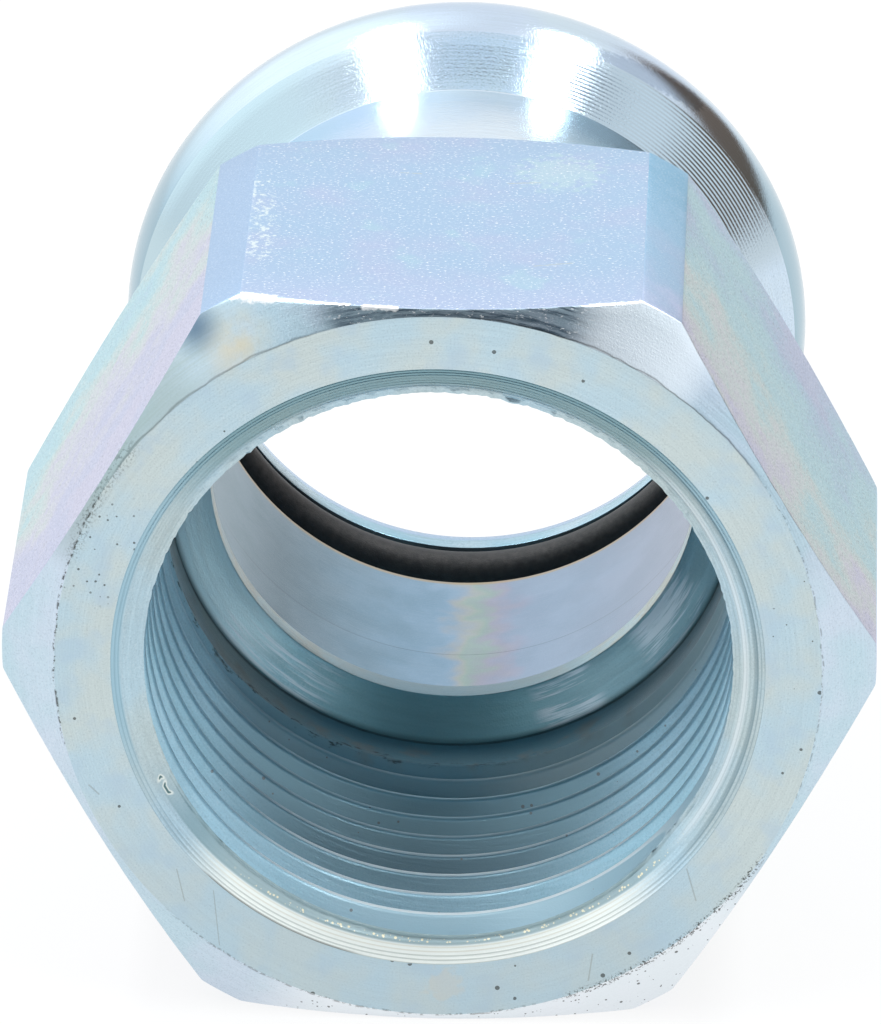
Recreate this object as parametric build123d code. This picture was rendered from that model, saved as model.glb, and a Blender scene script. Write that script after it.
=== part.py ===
from build123d import *

import math
import os

# Press adapter for a 28 mm steel tube, with a female parallel pipe thread of size 1.
# The axis runs along Y, the threaded mouth faces -Y, and the part lies on one flat of its hexagon.
# The origin is under the middle of the part. Millimetres and degrees.

# Hexagon
across_flats = 40.0
corner_diameter = 44.9
end_face_diameter = 39.3
crown_angle = 32.4
hexagon_length = 23.3

# Threaded end, bored to the thread's minor diameter
thread_bore_diameter = 30.29
countersink_diameter = 33.54
countersink_angle = 30.0
thread_bore_depth = 23.4
drill_point_angle = 118.0

# Pipe stop between the two ends
stop_bore_diameter = 25.9

# Press end
overall_length = 48.5
socket_diameter = 28.3
socket_depth = 22.5
neck_diameter = 31.0
lead_in_diameter = 28.6
lead_in_length = 0.8

# Seal ring and the bead that holds it
seal_section = 2.93
seal_proud = 0.2
seal_bearing = 0.2
seal_clearance = 0.02
seat_flank_angle = 41.5
bead_wall = 1.8
bead_cone_angle = 45.0
bead_cone_diameter = 35.86
bead_front_rounding = 4.8

# Radii that the sizes above give
corner_radius = corner_diameter / 2
end_face_radius = end_face_diameter / 2
thread_bore_radius = thread_bore_diameter / 2
countersink_radius = countersink_diameter / 2
stop_bore_radius = stop_bore_diameter / 2
socket_radius = socket_diameter / 2
neck_radius = neck_diameter / 2
lead_in_radius = lead_in_diameter / 2
bead_cone_radius = bead_cone_diameter / 2

# Seal ring, its seat and the bead round it share one centre.
# The ring bears on three walls of its seat, and is flattened by seal_bearing on each.
seal_radius = seal_section / 2
seal_ring_radius = socket_radius - seal_proud + seal_radius
seal_reach = seal_radius - seal_bearing
seat_reach = seal_reach + seal_clearance
bead_rounding = seat_reach + bead_wall
bead_radius = seal_ring_radius + bead_rounding
seal_position = overall_length - bead_rounding

# Profiles are drawn with x along the axis from the threaded face, and y away from the axis
axis_height = across_flats / 2
threaded_face = -overall_length / 2
profile_plane = Plane(origin=(0, threaded_face, axis_height), x_dir=(0, 1, 0), z_dir=(1, 0, 0))
hexagon_plane = Plane(origin=(0, threaded_face, axis_height), x_dir=(1, 0, 0), z_dir=(0, 1, 0))
main_axis = Axis((0, threaded_face, axis_height), (0, 1, 0))


def slope(angle):
    """Rise for each millimetre of run."""
    return math.tan(math.radians(angle))


def crowned_hexagon():
    """Hexagonal bar whose corners are turned round and whose ends are chamfered."""
    crown_length = (corner_radius - end_face_radius) * slope(crown_angle)
    outline = [
        (0, 0),
        (0, end_face_radius),
        (crown_length, corner_radius),
        (hexagon_length - crown_length, corner_radius),
        (hexagon_length, end_face_radius),
        (hexagon_length, 0),
    ]
    with BuildPart() as bar:
        with BuildSketch(hexagon_plane):
            RegularPolygon(across_flats / 2, 6, major_radius=False)
        extrude(amount=hexagon_length)
        with BuildSketch(profile_plane):
            Polygon(*outline, align=None)
        revolve(axis=main_axis, mode=Mode.INTERSECT)
    return bar.part


def press_end():
    """Neck that flares in a cone to the rounded bead over the seal."""
    bead_front_centre = bead_radius - bead_front_rounding
    cone_rise = bead_cone_radius - bead_front_centre
    cone_end = seal_position - math.sqrt(bead_front_rounding**2 - cone_rise**2)
    cone_start = cone_end - (bead_cone_radius - neck_radius) / slope(bead_cone_angle)
    middle = math.atan2(cone_rise, seal_position - cone_end) / 2 + math.radians(45)
    front_middle = (
        seal_position - bead_front_rounding * math.cos(middle),
        bead_front_centre + bead_front_rounding * math.sin(middle),
    )
    half_right = math.sqrt(0.5)
    rear_middle = (
        seal_position + bead_rounding * half_right,
        seal_ring_radius + bead_rounding * half_right,
    )
    crest = (seal_position, bead_radius)
    rear_face = (overall_length, seal_ring_radius)
    inside_hexagon = hexagon_length / 2
    with BuildPart() as tube:
        with BuildSketch(profile_plane):
            with BuildLine():
                Polyline(
                    (inside_hexagon, 0),
                    (inside_hexagon, neck_radius),
                    (cone_start, neck_radius),
                    (cone_end, bead_cone_radius),
                )
                ThreePointArc((cone_end, bead_cone_radius), front_middle, crest)
                ThreePointArc(crest, rear_middle, rear_face)
                Polyline(rear_face, (overall_length, 0), (inside_hexagon, 0))
            make_face()
        revolve(axis=main_axis)
    return tube.part


def seat_outline(reach, mouth_radius):
    """Seat section, open to the axis, with its front flank, floor and rear wall at reach from the centre."""
    floor = seal_ring_radius + reach
    rear_wall = seal_position + reach
    floor_start = seal_position - reach * slope(seat_flank_angle / 2)
    mouth_start = floor_start - (floor - mouth_radius) / slope(seat_flank_angle)
    return [
        (mouth_start, mouth_radius),
        (floor_start, floor),
        (rear_wall, floor),
        (rear_wall, mouth_radius),
    ]


def bored_hollow():
    """Everything cut from the inside: thread bore, pipe stop, socket, seal seat and lead-in."""
    countersink_depth = (countersink_radius - thread_bore_radius) * slope(countersink_angle)
    drill_point_length = (thread_bore_radius - stop_bore_radius) / slope(drill_point_angle / 2)
    stop_face = overall_length - socket_depth
    outline = [
        (0, 0),
        (0, countersink_radius),
        (countersink_depth, thread_bore_radius),
        (thread_bore_depth, thread_bore_radius),
        (thread_bore_depth + drill_point_length, stop_bore_radius),
        (stop_face, stop_bore_radius),
        (stop_face, socket_radius),
        *seat_outline(seat_reach, socket_radius),
        (overall_length - lead_in_length, socket_radius),
        (overall_length, lead_in_radius),
        (overall_length, 0),
    ]
    with BuildPart() as hollow:
        with BuildSketch(profile_plane):
            Polygon(*outline, align=None)
        revolve(axis=main_axis)
    return hollow.part


def fitting_body():
    """The one turned piece: hexagon, neck and bead, bored from both ends."""
    return crowned_hexagon() + press_end() - bored_hollow()


def seal_ring():
    """Rubber ring of round section, flattened on its seat and a little proud of the socket's wall."""
    with BuildPart() as ring:
        with BuildSketch(profile_plane):
            with Locations((seal_position, seal_ring_radius)):
                Circle(seal_radius)
            Polygon(*seat_outline(seal_reach, stop_bore_radius), align=None, mode=Mode.INTERSECT)
        revolve(axis=main_axis)
    return ring.part


os.makedirs("parts", exist_ok=True)
export_step(fitting_body(), "parts/fitting_body.step")
export_step(seal_ring(), "parts/seal_ring.step")
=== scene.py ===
"""Zinc-plated press adapter with a female pipe thread, dressed for a plain white studio."""

import math

import bmesh
import bpy
import numpy as np
from mathutils import Matrix, Vector


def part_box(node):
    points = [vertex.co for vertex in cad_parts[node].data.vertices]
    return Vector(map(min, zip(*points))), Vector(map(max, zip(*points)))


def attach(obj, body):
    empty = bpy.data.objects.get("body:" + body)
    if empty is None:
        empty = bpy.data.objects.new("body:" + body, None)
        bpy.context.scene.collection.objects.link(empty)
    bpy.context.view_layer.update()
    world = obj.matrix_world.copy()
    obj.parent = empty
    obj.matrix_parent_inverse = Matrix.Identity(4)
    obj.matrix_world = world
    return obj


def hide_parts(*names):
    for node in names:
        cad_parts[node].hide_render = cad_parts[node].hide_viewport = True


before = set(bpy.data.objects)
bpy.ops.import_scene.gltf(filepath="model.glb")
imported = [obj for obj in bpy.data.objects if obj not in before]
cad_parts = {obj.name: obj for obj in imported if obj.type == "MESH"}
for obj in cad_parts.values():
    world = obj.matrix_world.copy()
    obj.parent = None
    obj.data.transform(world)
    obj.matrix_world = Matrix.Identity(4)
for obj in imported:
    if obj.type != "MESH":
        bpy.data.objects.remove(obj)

bl_info = {
    "name": "Plated Press Adapter",
    "version": (1, 0, 0),
    "blender": (4, 5, 0),
    "location": "View3D > Sidebar > Press Adapter",
    "description": "Builds a zinc-plated press adapter with a pipe thread, its seal and a white studio",
    "category": "Add Mesh",
}

MM = 0.001

# Height of the picture in pixels, and width of the camera's sensor in millimetres
IMAGE_HEIGHT = 1024
SENSOR = 36.0

BODY_LOW, BODY_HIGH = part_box("fitting_body")
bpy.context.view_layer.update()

# Order of the body's material slots
FINISHES = (
    "thread",
    "plain_bore",
    "shoulder",
    "stop_land",
    "socket",
    "seat",
    "lip",
    "bead",
    "cone",
    "neck",
    "back_face",
    "crown",
    "top_flat",
    "side_flat",
    "corner",
    "face",
    "countersink",
)

# Form of the pipe thread: rounding and height as shares of the pitch, and a flank's slope to the square
ROUNDING_SHARE = 0.1373
HEIGHT_SHARE = 0.6403
FLANK = math.radians(27.5)

# In millimetres: the hexagon's length, the height of its top flat over the axis, and the distance from
# the axis of the edge between the end face and the crown
HEXAGON_LENGTH = 23.3
TOP = (BODY_HIGH.z - BODY_LOW.z) / 2 / MM
FACE_EDGE = 19.68

# Spacing of the grooves that the turning tool left in the countersink and on the cone, in millimetres
COUNTERSINK_GROOVES = 0.19
CONE_GROOVES = 0.152

WHITE = (1.0, 1.0, 1.0)


def length(name, description, default):
    """A size in metres that the panel shows with a unit."""
    return bpy.props.FloatProperty(
        name=name, description=description, default=default, min=0.0, precision=5, unit="LENGTH"
    )


def angle(name, description, degrees):
    """An angle that is written in degrees and kept in radians."""
    return bpy.props.FloatProperty(
        name=name, description=description, default=math.radians(degrees), subtype="ANGLE"
    )


def linear(red, green, blue):
    """Colour as a screen shows it, from 0 to 255, turned into linear light."""
    shown = np.array([red, green, blue]) / 255.0
    light = np.where(shown <= 0.04045, shown / 12.92, ((shown + 0.055) / 1.055) ** 2.4)
    return tuple(float(part) for part in light)


def colour(name, description, red, green, blue):
    """A colour that is written as a screen shows it."""
    return bpy.props.FloatVectorProperty(
        name=name,
        description=description,
        default=linear(red, green, blue),
        min=0.0,
        max=1.0,
        size=3,
        subtype="COLOR",
    )


class HexagonSizes(bpy.types.PropertyGroup):
    """Hexagon over the threaded end."""

    across_flats: length("Across Flats", "Width of the hexagon over two flats", BODY_HIGH.z - BODY_LOW.z)
    across_corners: length("Across Corners", "Diameter of the turned corners", BODY_HIGH.x - BODY_LOW.x)
    end_face: length("End Face", "Diameter of the flat ring at each end", 39.3 * MM)
    crown: angle("Crown Angle", "Slope of the turned chamfer from the end face", 32.4)
    depth: length("Length", "Length of the hexagon along the axis", HEXAGON_LENGTH * MM)
    edge: length("Edge Rounding", "Rounding of the hexagon's long edges", 0.022 * MM)


class ThreadSizes(bpy.types.PropertyGroup):
    """Female parallel pipe thread."""

    minor: length("Minor Diameter", "Diameter over the crests", 30.29 * MM)
    pitch: length("Pitch", "Distance from crest to crest", 25.4 / 11 * MM)
    mouth: length("Countersink", "Diameter of the countersink at the face", 33.54 * MM)
    countersink: angle("Countersink Angle", "Slope of the countersink from the face", 30.0)
    first_crest: length("First Crest", "Depth of the first crest on the right-hand side", 2.16 * MM)
    run_out: length("Run-out", "Depth at which the thread has died away", 20.7 * MM)
    bore_depth: length("Bore Depth", "Depth of the thread's bore", 23.4 * MM)
    burr: length("Burr", "Height of the ragged edge at the mouth", 0.08 * MM)


class PressSizes(bpy.types.PropertyGroup):
    """Pipe stop, press socket, bead and seal."""

    stop: length("Stop Diameter", "Diameter of the pipe stop", 25.9 * MM)
    drill_point: angle("Drill Point", "Full angle of the shoulder that the drill leaves", 118.0)
    socket: length("Socket Diameter", "Inner diameter of the press socket", 28.3 * MM)
    socket_depth: length("Socket Depth", "Depth of the press socket", 22.5 * MM)
    neck: length("Neck Diameter", "Outer diameter behind the hexagon", 31.0 * MM)
    lead_in: length("Lead-in Diameter", "Diameter of the chamfer at the socket's mouth", 28.6 * MM)
    lead_in_depth: length("Lead-in Depth", "Depth of that chamfer", 0.8 * MM)
    seal_section: length("Seal Section", "Diameter of the seal's cord", 2.93 * MM)
    seal_proud: length("Seal Proud", "How far the seal stands out of the socket's wall", 0.2 * MM)
    seal_bearing: length("Seal Bearing", "How much each wall of the seat flattens the seal", 0.2 * MM)
    clearance: length("Clearance", "Gap between the seal and its seat", 0.02 * MM)
    bead_wall: length("Bead Wall", "Wall between the seat and the bead's rounding", 1.8 * MM)
    bead_front: length("Bead Front Rounding", "Radius of the bead in front of its crest", 4.8 * MM)
    cone_top: length("Cone Diameter", "Diameter at which the cone meets the rounding", 35.86 * MM)
    flank: angle("Seat Flank", "Slope of the seat's front wall", 41.5)
    cone: angle("Cone Angle", "Slope of the bead's cone from the axis", 45.0)


class PlatingColours(bpy.types.PropertyGroup):
    """Tints of the passivated zinc and of what lies on it."""

    sky: colour("Sky Blue", "Thin clear film on the flats", 174, 199, 222)
    lilac: colour("Lilac", "Film where it turns violet", 190, 196, 222)
    rose: colour("Rose", "Film where it turns pink", 206, 202, 222)
    straw: colour("Straw", "Film where it turns yellow", 206, 215, 208)
    aqua: colour("Aqua", "Film where it turns green-blue", 178, 214, 222)
    pale: colour("Pale Zinc", "Pale plating on faced and turned surfaces", 194, 218, 229)
    cream: colour("Cream Zinc", "Warm plating on the face", 205, 218, 218)
    teal: colour("Teal Zinc", "Plating deep in the thread", 166, 208, 224)
    deep: colour("Deep Zinc", "Plating on the drilled shoulder", 188, 234, 242)
    steel: colour("Bore Zinc", "Plating in the socket", 140, 158, 170)
    soil: colour("Soil", "Dark dirt in pits and along edges", 58, 58, 52)
    rust: colour("Rust", "Brown stains in the bore", 118, 92, 74)
    rubber: colour("Rubber", "Black rubber of the seal", 24, 27, 30)


class StudioSettings(bpy.types.PropertyGroup):
    """Camera, floor and lamps."""

    place: bpy.props.FloatVectorProperty(
        name="Camera Place",
        description="Where the camera stands",
        default=(0.01794, -0.58684, 0.28051),
        size=3,
        subtype="TRANSLATION",
        unit="LENGTH",
    )
    bearing: angle("Bearing", "Turn of the camera from straight along the part, to the right", -1.817)
    pitch: angle("Pitch", "Tilt of the camera below level", 24.088)
    roll: angle("Roll", "Turn of the camera about its own line of sight", 0.374)
    focal_pixels: bpy.props.FloatProperty(
        name="Focal Length",
        description="Focal length, counted in pixels of the picture",
        default=12124.0,
    )
    floor: length("Floor", "Side of the white floor", 6.0)
    floor_white: bpy.props.FloatProperty(
        name="Floor White", description="Share of its own white that the floor shows", default=0.85
    )
    fill: bpy.props.FloatProperty(name="Fill", description="Level of the light tent", default=1.0)
    boxes: bpy.props.FloatProperty(name="Soft Boxes", description="Level of the soft boxes", default=3.4)


# Shapes

def around(hexagon_edge_angle):
    """Angles of the body's columns: even steps, with closer ones where a flat meets a corner.

    The first angle is 0 and the last is a full turn, so that the thread can climb across the seam.
    """
    even_steps = 400
    least_step = 0.15
    even = np.linspace(0.0, 360.0, even_steps, endpoint=False)
    flat_middles = np.arange(30.0, 360.0, 60.0)
    near = np.array([-0.5, -0.24, -0.1, 0.0, 0.1, 0.24, 0.5])
    edges = np.concatenate([flat_middles + hexagon_edge_angle, flat_middles - hexagon_edge_angle])
    close = (edges[:, None] + near[None, :]).ravel() % 360.0
    apart = np.abs(even[:, None] - close[None, :]).min(axis=1) > least_step
    angles = np.sort(np.concatenate([even[apart], close]))
    angles[0] = 0.0
    return np.radians(np.append(angles, 360.0))


def ripple(angles, seed, lowest, highest):
    """Wavy line round the axis: a sum of sines with whole numbers of waves, between -1 and 1."""
    random = np.random.default_rng(seed)
    waves = np.arange(lowest, highest + 1)
    phases = random.uniform(0.0, 2.0 * np.pi, len(waves))
    heights = random.uniform(0.3, 1.0, len(waves))
    line = (heights[:, None] * np.sin(waves[:, None] * angles[None, :] + phases[:, None])).sum(axis=0)
    return line / np.abs(line).max()


def hump(angles, middle, width):
    """Bell curve round the axis, 1 at the middle and about 0.6 at the width, both in degrees."""
    away = (np.degrees(angles) - middle + 180.0) % 360.0 - 180.0
    return np.exp(-0.5 * (away / width) ** 2)


def hexagon_radius(angles, sizes):
    """Distance from the axis to the hexagon: the lesser of a flat's secant and the turned corner.

    A flat is its half width over the cosine of the angle from its middle. The two are joined by a
    smooth minimum, half their sum less the root of their half difference squared plus the edge squared.
    """
    from_middle = angles % math.radians(60.0) - math.radians(30.0)
    flat = sizes.across_flats / 2 / np.cos(from_middle)
    corner = sizes.across_corners / 2
    half_gap = (flat - corner) / 2
    return (flat + corner) / 2 - np.sqrt(half_gap**2 + sizes.edge**2)


def thread_radius(along, angles, sizes):
    """Distance from the axis to the thread at a depth and an angle.

    The crest climbs one pitch for each turn. Away from the crest the radius grows by the crest's
    round, then by a straight flank, then by the root's round. The first groove deepens from nothing
    over a part of a turn, and the last one dies away.
    """
    pitch = sizes.pitch
    rounding = ROUNDING_SHARE * pitch
    height = HEIGHT_SHARE * pitch
    turn_off = rounding * math.cos(FLANK)
    turns = (along - sizes.first_crest) / pitch + angles / (2 * np.pi)
    groove = np.floor(turns)
    away = np.abs((turns - groove + 0.5) % 1.0 - 0.5) * pitch
    to_root = pitch / 2 - away
    at_crest = rounding - np.sqrt(np.maximum(rounding**2 - away**2, 0.0))
    at_root = height - rounding + np.sqrt(np.maximum(rounding**2 - to_root**2, 0.0))
    on_flank = height / 2 + (away - pitch / 4) / math.tan(FLANK)
    rise = np.where(away < turn_off, at_crest, np.where(to_root < turn_off, at_root, on_flank))
    plain = math.radians(38.0)
    deepening = math.radians(45.0)
    dying = 0.8 * pitch
    since_start = (groove + 1.0) * 2 * np.pi - angles
    begun = np.clip((since_start - plain) / deepening, 0.0, 1.0)
    left = np.clip((sizes.run_out - along) / dying, 0.0, 1.0)
    return sizes.minor / 2 + rise * begun * left


class TurnedProfile:
    """Rows of a surface that goes round the axis, from corner to corner of a section.

    Each row has a place along the axis and a radius for every angle. A soft corner is a quadratic
    curve that leaves one side and meets the other at the same reach from the corner.
    """

    SOFT_STEPS = 4

    def __init__(self, angles):
        self.angles = angles
        self.corners = []

    def to(self, along, radius, finish, steps=1, soft=0.0):
        """Adds a corner. The finish and the steps belong to the side that leads to it."""
        across = np.ones_like(self.angles)
        self.corners.append((along * across, radius * across, FINISHES.index(finish), steps, soft * across))

    def arc(self, centre, radius, start, end, finish, steps):
        """Adds an arc about a centre: its angles are counted from the axis towards the outside."""
        for part in np.linspace(start, end, steps + 1)[1:]:
            self.to(centre[0] + radius * math.cos(part), centre[1] + radius * math.sin(part), finish)

    def rows(self):
        """Places along the axis, radii, and the finish of each band between two rows."""
        along, radius, bands = [], [], []
        last = len(self.corners) - 1
        for index, (x, r, finish, steps, soft) in enumerate(self.corners):
            points = [(x, r)]
            following = self.corners[min(index + 1, last)][2]
            if 0 < index < last and soft.max() > 0:
                points = self.soft_corner(index)
            if index:
                start = (along[-1], radius[-1])
                for share in np.arange(1, steps) / steps:
                    along.append(start[0] * (1 - share) + points[0][0] * share)
                    radius.append(start[1] * (1 - share) + points[0][1] * share)
                    bands.append(finish)
                bands.append(finish)
            for number, (px, pr) in enumerate(points):
                along.append(px)
                radius.append(pr)
                if number:
                    bands.append(finish if number <= len(points) // 2 else following)
        return np.array(along), np.array(radius), np.array(bands)

    def soft_corner(self, index):
        """Points of the soft curve at a corner, from the side before it to the side after it."""
        corner = np.array(self.corners[index][:2])
        reach = self.corners[index][4]
        before = self.aside(corner, np.array(self.corners[index - 1][:2]), reach)
        after = self.aside(corner, np.array(self.corners[index + 1][:2]), reach)
        shares = np.linspace(0.0, 1.0, self.SOFT_STEPS + 1)
        return [(1 - t) ** 2 * before + 2 * t * (1 - t) * corner + t**2 * after for t in shares]

    @staticmethod
    def aside(corner, towards, reach):
        """Point at a reach from a corner on the way to another, no further than 0.45 of the way."""
        way = towards - corner
        whole = np.maximum(np.hypot(way[0], way[1]), 1e-9)
        return corner + way * np.minimum(reach / whole, 0.45)


def turned_rows(angles, hexagon, thread, press):
    """The whole section but the thread, from the end of the thread through the bore and back outside."""
    total = BODY_HIGH.y - BODY_LOW.y
    bore = thread.minor / 2
    stop = press.stop / 2
    socket = press.socket / 2
    seal = press.seal_section / 2
    ring = socket - press.seal_proud + seal
    reach = seal - press.seal_bearing + press.clearance
    rounding = reach + press.bead_wall
    ring_place = total - rounding
    stop_face = total - press.socket_depth
    floor_start = ring_place - reach * math.tan(press.flank / 2)
    seat_start = floor_start - (ring + reach - socket) / math.tan(press.flank)
    shoulder = thread.bore_depth + (bore - stop) / math.tan(press.drill_point / 2)
    front_centre = ring + rounding - press.bead_front
    cone_top = press.cone_top / 2
    cone_end = ring_place - math.sqrt(press.bead_front**2 - (cone_top - front_centre) ** 2)
    cone_start = cone_end - (cone_top - press.neck / 2) / math.tan(press.cone)
    end_face = hexagon.end_face / 2
    hexagon_wall = hexagon_radius(angles, hexagon)
    crown = (hexagon_wall - end_face) * math.tan(hexagon.crown)
    roll = edge_roll(angles)
    worn = 0.05 * MM * (1.2 + ripple(angles, 5, 20, 90))
    fine = 0.04 * MM

    profile = TurnedProfile(angles)
    profile.to(thread.run_out, bore, "plain_bore")
    profile.to(thread.bore_depth, bore, "plain_bore", steps=2, soft=0.12 * MM)
    profile.to(shoulder, stop, "shoulder", steps=3, soft=0.06 * MM)
    profile.to(stop_face, stop, "stop_land", soft=0.04 * MM)
    profile.to(stop_face, socket, "socket")
    profile.to(seat_start, socket, "socket", steps=5, soft=0.05 * MM)
    profile.to(floor_start, ring + reach, "seat")
    profile.to(ring_place + reach, ring + reach, "seat")
    profile.to(ring_place + reach, socket, "seat", soft=0.05 * MM)
    profile.to(total - press.lead_in_depth, socket, "lip")
    profile.to(total, press.lead_in / 2, "lip", soft=0.05 * MM)
    profile.to(total, ring, "bead")
    profile.arc((ring_place, ring), rounding, 0.0, math.pi / 2, "bead", 12)
    lean = math.acos((ring_place - cone_end) / press.bead_front)
    profile.arc((ring_place, front_centre), press.bead_front, math.pi / 2, math.pi - lean, "bead", 5)
    profile.to(cone_start, press.neck / 2, "cone", steps=4, soft=0.06 * MM)
    profile.to(hexagon.depth, press.neck / 2, "neck", steps=4, soft=0.3 * MM)
    profile.to(hexagon.depth, end_face, "back_face", steps=2, soft=fine)
    profile.to(hexagon.depth - crown, hexagon_wall, "crown", steps=3, soft=worn)
    profile.to(crown, hexagon_wall, "side_flat", steps=5, soft=worn + roll)
    profile.to(0.0, end_face, "crown", steps=4, soft=fine)
    profile.to(0.0, thread.mouth / 2, "face", steps=3, soft=0.03 * MM)
    start = thread_start(thread)
    profile.to(start, thread.mouth / 2 - start / math.tan(thread.countersink), "countersink")
    return profile.rows()


def edge_roll(angles):
    """Extra rounding where the hexagon's front edge was rolled over, in places along the top flat."""
    rolls = ((0.22, 115.0, 3.0), (0.12, 109.0, 2.5), (0.08, 66.0, 4.0))
    return MM * sum(height * hump(angles, middle, width) for height, middle, width in rolls)


def thread_start(sizes):
    """Depth at which the countersink is just wider than the thread's roots."""
    root = sizes.minor / 2 + HEIGHT_SHARE * sizes.pitch
    clearance = 0.005 * MM
    return (sizes.mouth / 2 - root) * math.tan(sizes.countersink) - clearance


def countersink_radius(along, sizes):
    """Distance from the axis to the countersink's cone at a depth."""
    return sizes.mouth / 2 - along / math.tan(sizes.countersink)


def mouth_ridge(angles, sizes):
    """Depth, for each angle, at which the countersink's cone first meets the thread or its bore."""
    depths = np.linspace(0.0, 2.0 * MM, 800)[:, None]
    gap = countersink_radius(depths, sizes) - thread_radius(depths, angles[None, :], sizes)
    after = np.argmax(gap <= 0.0, axis=0)[None, :]
    over = np.take_along_axis(gap, after - 1, axis=0)[0]
    under = np.take_along_axis(gap, after, axis=0)[0]
    step = depths[1, 0]
    return (after[0] - 1 + over / (over - under)) * step


def countersink_rows(angles, sizes, ridge):
    """The countersink from the face to its ridge, with a ragged lip and, below, a hollow outside it.

    A height stands square to the cone: its sine of the countersink's angle comes off the radius, and
    its cosine off the depth.
    """
    start = thread_start(sizes)
    shares = np.array([0.0, 0.25, 0.5, 0.68, 0.78, 0.88, 0.95, 1.0])[:, None]
    lip_shares = np.array([0.0, 0.0, 0.0, 0.0, 0.0, 0.0, 0.9, 1.0])[:, None]
    hollow_shares = np.array([0.0, 0.0, 0.0, 0.2, 0.8, 1.0, 0.0, 0.0])[:, None]
    along = start + (ridge[None, :] - start) * shares
    ragged = 0.9 * ripple(angles, 11, 60, 200) + 0.35 * ripple(angles, 12, 9, 40)
    ragged = ragged + 1.5 * hump(angles, 75.9, 0.7)
    lip = sizes.burr * (0.9 + ragged) * (1.0 + 0.8 * hump(angles, 270.0, 40.0))
    hollow = 0.07 * MM * (hump(angles, 262.0, 34.0) + 0.3)
    heights = lip_shares * lip[None, :] - hollow_shares * hollow[None, :]
    radius = countersink_radius(along, sizes) - heights * math.sin(sizes.countersink)
    return along - heights * math.cos(sizes.countersink), radius


def thread_rows(angles, sizes):
    """The countersink and the thread behind it, as a strip that climbs round the bore.

    Rows follow the crest, the flank and the root, so each is one line of the helix. None starts
    before the ridge where the countersink ends.
    """
    pitch = sizes.pitch
    bend = ROUNDING_SHARE * pitch * math.cos(FLANK) * np.array([-1.0, -0.5, 0.0, 0.5, 1.0])
    offsets = np.concatenate([bend, pitch / 2 + bend])
    ridge = mouth_ridge(angles, sizes)
    turns = np.arange(-1, math.ceil((sizes.run_out - sizes.first_crest) / pitch) + 2)
    levels = (sizes.first_crest + turns[:, None] * pitch + offsets[None, :]).ravel()
    along = levels[:, None] - pitch * angles[None, :] / (2 * np.pi)
    along = np.clip(along, ridge[None, :], sizes.run_out)
    radius = thread_radius(along, angles[None, :], sizes)
    cone_along, cone_radius = countersink_rows(angles, sizes, ridge)
    at_ridge = along <= ridge[None, :]
    along = np.where(at_ridge, cone_along[-1][None, :], along)
    radius = np.where(at_ridge, cone_radius[-1][None, :], radius)
    countersink = np.full(len(cone_along), FINISHES.index("countersink"))
    thread = np.full(len(levels) - 1, FINISHES.index("thread"))
    finishes = np.concatenate([countersink, thread])
    return np.concatenate([cone_along, along]), np.concatenate([cone_radius, radius]), finishes


def hexagon_bands(angles, finishes, edge_angle):
    """Finish of each face of the section's rows: flats are parted from the corners between them."""
    middle = np.degrees(angles[:-1] + angles[1:]) / 2
    from_middle = np.abs(middle % 60.0 - 30.0)
    on_corner = from_middle > edge_angle
    on_top = np.abs(middle - 90.0) < 30.0
    flat = np.where(on_top, FINISHES.index("top_flat"), FINISHES.index("side_flat"))
    flat = np.where(on_corner, FINISHES.index("corner"), flat)
    grid = np.repeat(finishes[:, None], len(middle), axis=1)
    return np.where(grid == FINISHES.index("side_flat"), flat[None, :], grid)


def around_axis(along, radius, angles):
    """Points in the part's frame: the radius turned to its angle, moved along from the threaded face."""
    x = radius * np.cos(angles)[None, :]
    y = BODY_LOW.y + along
    z = BODY_LOW.z + (BODY_HIGH.z - BODY_LOW.z) / 2 + radius * np.sin(angles)[None, :]
    return np.stack([x, y, z], axis=-1)


def grid_quads(rows, columns, first):
    """Corner numbers of the quads of a grid, row by row."""
    corner = first + np.arange(rows * columns).reshape(rows, columns)
    quads = [corner[:-1, :-1], corner[1:, :-1], corner[1:, 1:], corner[:-1, 1:]]
    return np.stack(quads, axis=-1).reshape(-1, 4)


def mesh_from(name, points, quads, finishes):
    """One closed mesh from points and quads, with its doubles merged and its soft shading set."""
    mesh = bpy.data.meshes.new(name)
    mesh.vertices.add(len(points))
    mesh.vertices.foreach_set("co", points.ravel())
    mesh.loops.add(quads.size)
    mesh.loops.foreach_set("vertex_index", quads.ravel())
    mesh.polygons.add(len(quads))
    mesh.polygons.foreach_set("loop_start", np.arange(0, quads.size, 4))
    mesh.polygons.foreach_set("material_index", finishes.ravel())
    mesh.update(calc_edges=True)
    work = bmesh.new()
    work.from_mesh(mesh)
    same_place = 0.0002 * MM
    bmesh.ops.remove_doubles(work, verts=work.verts, dist=same_place)
    bmesh.ops.dissolve_degenerate(work, edges=work.edges, dist=same_place / 2)
    if work.calc_volume(signed=True) < 0:
        bmesh.ops.reverse_faces(work, faces=work.faces)
    open_edges = sum(1 for edge in work.edges if not edge.is_manifold)
    work.to_mesh(mesh)
    work.free()
    if open_edges:
        raise RuntimeError(f"{name} has {open_edges} open edges")
    mesh.polygons.foreach_set("use_smooth", np.ones(len(mesh.polygons), bool))
    mesh.set_sharp_from_angle(angle=math.radians(35.0))
    return mesh


def add_piece(name, mesh, node, materials):
    """Adds an object that stands for a node of the frame, rides with the part and takes its finishes."""
    piece = bpy.data.objects.new(name, mesh)
    bpy.context.scene.collection.objects.link(piece)
    for material in materials:
        mesh.materials.append(material)
    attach(piece, "root")
    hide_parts(node)


# Finishes

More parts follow.
